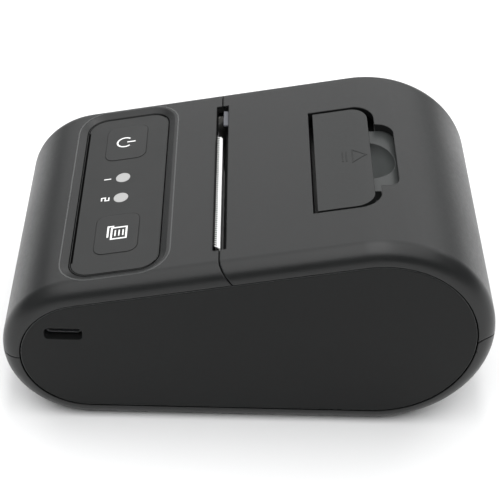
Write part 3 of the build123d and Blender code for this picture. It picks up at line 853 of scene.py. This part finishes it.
class PRINTER_OT_mechanism(bpy.types.Operator):
    """Finish the print mechanism, gears and electronics"""

    bl_idname = "printer.mechanism"
    bl_label = "Mechanism"

    def execute(self, context):
        steel = brushed("plated_steel", (0.62, 0.62, 0.63), 0.32, (0.05, 1.0, 1.0))
        for node in ("mech_frame", "idler_post", "lever_pin", "hinge_pins"):
            coat(node, steel)
        for node in ("platen_shaft", "motor_shaft", "case_screws", "head_springs"):
            coat(node, steel)
        coat("usb_socket", brushed("socket_shell", (0.6, 0.6, 0.62), 0.3, (0.05, 1.0, 1.0)))
        coat("feed_motor", brushed("motor_can", (0.5, 0.5, 0.52), 0.36, (1.0, 0.1, 0.1)))
        coat("head_carrier", brushed("head_aluminium", (0.78, 0.79, 0.8), 0.38, (0.04, 1.0, 1.0)))
        coat("motor_pinion", brushed("pinion_brass", (0.78, 0.6, 0.28), 0.3, (1.0, 0.1, 0.1)))
        coat("print_head", moulded("head_ceramic", (0.72, 0.7, 0.62), 0.3, 0.2, 0.004, 0.05))
        acetal = moulded("gear_acetal", (0.82, 0.81, 0.76), 0.38, 0.25, 0.005, 0.06)
        for node in ("platen_gear", "idler_gear", "platen_bushes"):
            coat(node, acetal)
        coat("platen_roller", rubber("platen_rubber", (0.022, 0.022, 0.023)))
        coat("key_switches", moulded("switch_body", (0.03, 0.03, 0.03), 0.4, 0.2, 0.008, 0.08))
        green = board("board_mask", (0.015, 0.12, 0.05))
        coat("main_board", green)
        coat("key_board", green)
        coat("battery_pack", film("battery_wrap", (0.03, 0.07, 0.2), 0.3))
        return {"FINISHED"}


class PRINTER_OT_labels(bpy.types.Operator):
    """Finish the label web, roll and core"""

    bl_idname = "printer.labels"
    bl_label = "Label stock"

    def execute(self, context):
        coat("paper_web", paper("label_web", colours().label))
        coat("label_roll", paper("label_layers", colours().label, "label_roll"))
        coat("roll_core", paper("core_board", (0.42, 0.33, 0.23), "roll_core"))
        return {"FINISHED"}


class PRINTER_OT_stage(bpy.types.Operator):
    """Set the pale floor, soft studio light and camera"""

    bl_idname = "printer.stage"
    bl_label = "Stage"

    def execute(self, context):
        scene = context.scene
        bpy.ops.mesh.primitive_plane_add(size=FLOOR_SIZE)
        floor = context.object
        floor.name = "pale_floor"
        ground = Finish("pale_ground", Specular_IOR_Level=0.1)
        mottle = ground.noise(9.0, 3.0)
        ground.feed("Base Color", ground.blend(mottle, (0.86, 0.86, 0.86), (0.9, 0.9, 0.9)))
        ground.feed("Roughness", ground.spread(mottle, 0.3, 0.7, 0.8, 0.9))
        floor.data.materials.append(ground.material)

        world = bpy.data.worlds.new("soft_room")
        world.use_nodes = True
        room = world.node_tree.nodes["Background"]
        room.inputs["Color"].default_value = ROOM_COLOUR
        room.inputs["Strength"].default_value = ROOM_GLOW
        scene.world = world
        scene.view_settings.view_transform = "Standard"

        for softbox in SOFTBOXES:
            self.softbox(*softbox)

        lens = bpy.data.cameras.new("view_camera")
        lens.lens = VIEW_LENS
        lens.sensor_width = 36.0
        lens.clip_start = 0.01
        camera = bpy.data.objects.new("view_camera", lens)
        scene.collection.objects.link(camera)
        camera.location = VIEW_PLACE
        turn = Matrix.Rotation(math.radians(VIEW_AZIMUTH), 4, "Z")
        tilt = Matrix.Rotation(math.radians(90 - VIEW_ELEVATION), 4, "X")
        roll = Matrix.Rotation(math.radians(-VIEW_ROLL), 4, "Z")
        camera.rotation_euler = (turn @ tilt @ roll).to_euler()
        scene.camera = camera
        return {"FINISHED"}

    @staticmethod
    def softbox(name, place, aim, wide, deep, glow):
        """A rectangular soft light of even glow that faces a point."""
        light = bpy.data.lights.new(name, "AREA")
        light.shape = "RECTANGLE"
        light.size = wide
        light.size_y = deep
        light.energy = glow * math.pi * wide * deep
        holder = bpy.data.objects.new(name, light)
        bpy.context.scene.collection.objects.link(holder)
        holder.location = place
        facing = Vector(aim) - Vector(place)
        holder.rotation_euler = facing.to_track_quat("-Z", "Y").to_euler()


OPERATORS = (
    PRINTER_OT_stage,
    PRINTER_OT_casing,
    PRINTER_OT_deck,
    PRINTER_OT_marks,
    PRINTER_OT_deck_edge,
    PRINTER_OT_seals,
    PRINTER_OT_lever_marks,
    PRINTER_OT_trim,
    PRINTER_OT_guide,
    PRINTER_OT_teeth,
    PRINTER_OT_mechanism,
    PRINTER_OT_labels,
)


class PRINTER_PT_panel(bpy.types.Panel):
    """Sizes, colours and steps of the printer"""

    bl_label = "Portable thermal printer"
    bl_idname = "PRINTER_PT_panel"
    bl_space_type = "VIEW_3D"
    bl_region_type = "UI"
    bl_category = "Printer"

    def draw(self, context):
        for group in (context.scene.printer_sizes, context.scene.printer_colours):
            for name in group.__annotations__:
                self.layout.prop(group, name)
        for operator in OPERATORS:
            self.layout.operator(operator.bl_idname)


CLASSES = (PrinterSizes, PrinterColours, *OPERATORS, PRINTER_PT_panel)


def register():
    for cls in CLASSES:
        bpy.utils.register_class(cls)
    bpy.types.Scene.printer_sizes = PointerProperty(type=PrinterSizes)
    bpy.types.Scene.printer_colours = PointerProperty(type=PrinterColours)


def unregister():
    del bpy.types.Scene.printer_colours
    del bpy.types.Scene.printer_sizes
    for cls in reversed(CLASSES):
        bpy.utils.unregister_class(cls)


def main():
    register()
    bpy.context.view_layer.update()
    bpy.ops.printer.stage()
    bpy.ops.printer.casing()
    bpy.ops.printer.deck()
    bpy.ops.printer.marks()
    bpy.ops.printer.deck_edge()
    bpy.ops.printer.seals()
    bpy.ops.printer.lever_marks()
    bpy.ops.printer.trim()
    bpy.ops.printer.guide()
    bpy.ops.printer.teeth()
    bpy.ops.printer.mechanism()
    bpy.ops.printer.labels()


if __name__ == "__main__":
    main()
